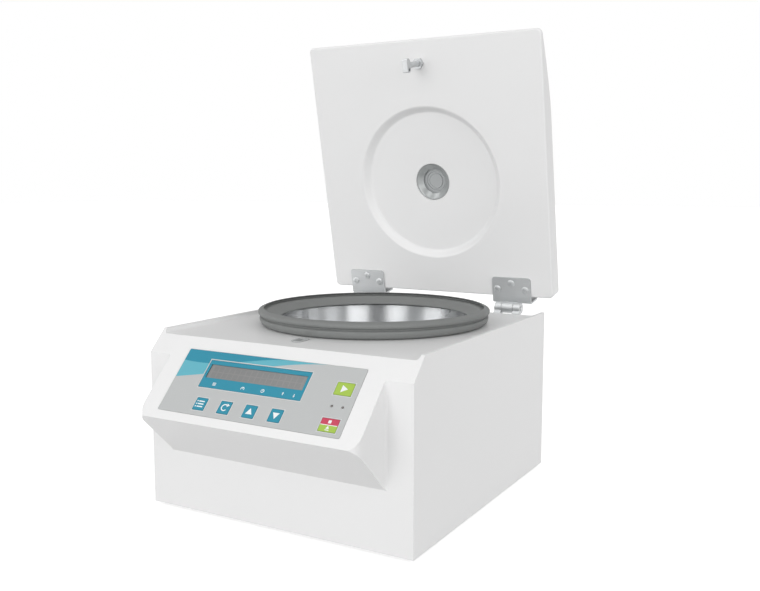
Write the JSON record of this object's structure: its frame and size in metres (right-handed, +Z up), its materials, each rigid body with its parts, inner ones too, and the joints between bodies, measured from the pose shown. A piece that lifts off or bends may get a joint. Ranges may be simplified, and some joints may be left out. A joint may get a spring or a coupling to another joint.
{
  "type": "hematocrit centrifuge",
  "caption": "Bench centrifuge for capillary blood tubes: white casing, sloping key panel, round steel bowl with a flat rotor, and a hinged lid with a sight window, shown open",
  "frame": {"origin": "on the table, under the middle of the outline with the lid open", "axes": "X to the operator's right, Y to the back, Z up"},
  "size_m": [0.2808, 0.3894, 0.4611],
  "materials": {
    "white_shell": "fine satin moulding",
    "painted_steel": "light grey powder coat",
    "rubber_dark": "matt black",
    "bright_steel": "brushed and bright",
    "seal_rubber": "matt grey",
    "overlay_grey": "satin light grey",
    "teal_print": "satin teal",
    "display_grey": "glossy grey",
    "black_plastic": "satin black",
    "board_green": "coated board",
    "key_green": "satin green",
    "key_red": "satin red",
    "lamp_amber": "glossy amber",
    "smoky_clear": "clear, seen against a dark hole",
    "zinc_steel": "zinc plated",
    "anodised": "satin anodised",
    "cast_aluminium": "cast and turned",
    "winding_steel": "varnished laminations and copper-red tape"
  },
  "bodies": {
    "machine": {"control_overlay": "overlay_grey", "display_bezel": "teal_print", "display_window": "display_grey", "lcd_module": "black_plastic", "display_board": "board_green", "led_lid": "lamp_amber", "led_run": "lamp_amber", "rear_panel": "painted_steel", "power_inlet": "black_plastic", "rocker_frame": "black_plastic", "bowl": "bright_steel", "bowl_seal": "seal_rubber", "motor": "cast_aluminium", "motor_plate": "zinc_steel", "shaft_boot": "rubber_dark", "motor_damper_1": "rubber_dark", "motor_damper_2": "rubber_dark", "motor_damper_3": "rubber_dark", "slot_bezel": "overlay_grey", "lock_tray": "zinc_steel", "lock_coil": "black_plastic", "lid_switch": "black_plastic", "casing": "white_shell", "base_plate": "painted_steel", "foot_front_left": "rubber_dark", "foot_front_right": "rubber_dark", "foot_rear_left": "rubber_dark", "foot_rear_right": "rubber_dark", "hinge_base_left": "zinc_steel", "hinge_pin_left": "zinc_steel", "hinge_base_right": "zinc_steel", "hinge_pin_right": "zinc_steel", "main_board": "board_green", "transformer": "winding_steel"},
    "lid": {"lid_cover": "white_shell", "lid_tray": "white_shell", "sight_bush": "overlay_grey", "sight_lens": "smoky_clear", "striker": "zinc_steel", "striker_nut": "zinc_steel", "hinge_leaf_left": "zinc_steel", "hinge_leaf_right": "zinc_steel"},
    "rotor": {"spindle": "bright_steel", "rotor_disc": "anodised", "rotor_cushion": "rubber_dark"},
    "rotor_lid": {"rotor_cover": "anodised"},
    "knob": {"rotor_knob": "black_plastic"},
    "lock": {"lock_fork": "zinc_steel", "lock_plunger": "zinc_steel"},
    "program_key": {"key_program": "teal_print"},
    "select_key": {"key_select": "teal_print"},
    "up_key": {"key_up": "teal_print"},
    "down_key": {"key_down": "teal_print"},
    "start_key": {"key_start": "key_green"},
    "stop_open_key": {"key_stop_open": "key_red"},
    "rocker": {"power_rocker": "black_plastic"},
    "fuse_tray": {"fuse_drawer": "black_plastic"}
  },
  "joints": [
    {"name": "lid_hinge", "type": "hinge", "parent": "machine", "child": "lid", "pos_m": [0, 0.16412, 0.1688], "axis": [1, 0, 0], "range_deg": [0, 78.63]},
    {"name": "rotor_spin", "type": "hinge", "parent": "machine", "child": "rotor", "pos_m": [0, 0.02722, 0.1], "axis": [0, 0, 1], "continuous": true},
    {"name": "rotor_lid_lift", "type": "slide", "parent": "rotor", "child": "rotor_lid", "axis": [0, 0, 1], "range_m": [0, 0.012]},
    {"name": "knob_turn", "type": "hinge", "parent": "rotor_lid", "child": "knob", "pos_m": [0, 0.02722, 0.13], "axis": [0, 0, 1], "range_deg": [0, 1170]},
    {"name": "lock_slide", "type": "slide", "parent": "machine", "child": "lock", "axis": [1, 0, 0], "range_m": [0, 0.008]},
    {"name": "program_press", "type": "slide", "parent": "machine", "child": "program_key", "axis": [0, 0.7214, -0.6925], "range_m": [0, 0.0004], "stiffness_N_per_m": 1500, "springref_m": -0.0003},
    {"name": "select_press", "type": "slide", "parent": "machine", "child": "select_key", "axis": [0, 0.7214, -0.6925], "range_m": [0, 0.0004], "stiffness_N_per_m": 1500, "springref_m": -0.0003},
    {"name": "up_press", "type": "slide", "parent": "machine", "child": "up_key", "axis": [0, 0.7214, -0.6925], "range_m": [0, 0.0004], "stiffness_N_per_m": 1500, "springref_m": -0.0003},
    {"name": "down_press", "type": "slide", "parent": "machine", "child": "down_key", "axis": [0, 0.7214, -0.6925], "range_m": [0, 0.0004], "stiffness_N_per_m": 1500, "springref_m": -0.0003},
    {"name": "start_press", "type": "slide", "parent": "machine", "child": "start_key", "axis": [0, 0.7214, -0.6925], "range_m": [0, 0.0004], "stiffness_N_per_m": 1500, "springref_m": -0.0003},
    {"name": "stop_open_press", "type": "slide", "parent": "machine", "child": "stop_open_key", "axis": [0, 0.7214, -0.6925], "range_m": [0, 0.0004], "stiffness_N_per_m": 1500, "springref_m": -0.0003},
    {"name": "rocker_tilt", "type": "hinge", "parent": "machine", "child": "rocker", "pos_m": [-0.044, 0.14572, 0.039], "axis": [1, 0, 0], "range_deg": [0, 18]},
    {"name": "fuse_pull", "type": "slide", "parent": "machine", "child": "fuse_tray", "axis": [0, 1, 0], "range_m": [0, 0.016]}
  ],
  "couplings": [
    {"joint": "knob_turn", "follows": "rotor_lid_lift", "rad_per_m": 1570.8}
  ]
}
